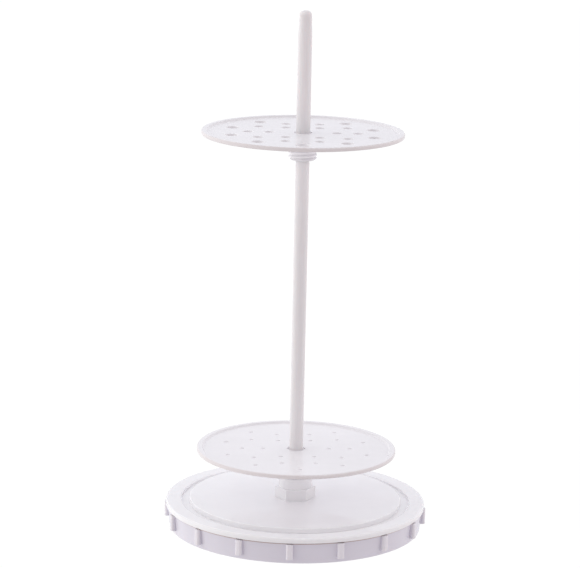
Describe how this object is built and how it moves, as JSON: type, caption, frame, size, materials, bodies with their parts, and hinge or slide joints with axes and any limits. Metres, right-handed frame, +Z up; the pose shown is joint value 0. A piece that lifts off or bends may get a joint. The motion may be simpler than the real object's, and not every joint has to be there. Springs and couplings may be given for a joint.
{
  "type": "rotary pipette stand",
  "caption": "Upright stand with two perforated discs on a central rod above a round ribbed base, turning on a hidden ball race.",
  "frame": {"origin": "on the ground under the rod, at the centre of the feet", "axes": "+Z up along the rod and the turning axis, -Y towards the viewer"},
  "size_m": [0.2244, 0.2244, 0.444],
  "materials": {
    "base_polypropylene": "semi-gloss moulded polypropylene, white with a faint lavender cast",
    "turntable_polypropylene": "semi-gloss moulded polypropylene, brightest white",
    "disc_polypropylene": "semi-gloss moulded polypropylene, white with a faint lavender cast",
    "rod_plastic": "satin extruded plastic, slightly warmer and greyer white",
    "foot_rubber": "matt grey elastomer",
    "bearing_acetal": "natural acetal",
    "zinc_steel": "bright zinc-plated steel",
    "insert_brass": "turned brass"
  },
  "bodies": {
    "base": {"base_shell": "base_polypropylene", "rubber_feet": "foot_rubber", "pivot_bush": "bearing_acetal", "lower_race": "bearing_acetal"},
    "ball_train": {"ball_cage": "bearing_acetal", "bearing_balls": "zinc_steel"},
    "carousel": {"turntable": "turntable_polypropylene", "upper_race": "bearing_acetal", "rod_socket": "turntable_polypropylene", "socket_lock_nut": "bearing_acetal", "pivot_screw": "zinc_steel", "pivot_washer": "zinc_steel", "thrust_washer": "bearing_acetal", "pivot_insert": "insert_brass", "socket_insert": "insert_brass", "lower_plate": "disc_polypropylene", "lower_tube": "rod_plastic", "tie_rod": "zinc_steel", "upper_plate": "disc_polypropylene", "handle": "rod_plastic", "handle_insert": "insert_brass"}
  },
  "joints": [
    {"name": "turntable_spin", "type": "hinge", "parent": "base", "child": "carousel", "pos_m": [0, 0, 0.02], "axis": [0, 0, 1], "continuous": true},
    {"name": "ball_train_spin", "type": "hinge", "parent": "base", "child": "ball_train", "pos_m": [0, 0, 0.0196], "axis": [0, 0, 1], "continuous": true}
  ],
  "couplings": [
    {"joint": "ball_train_spin", "follows": "turntable_spin", "ratio": 0.5}
  ]
}
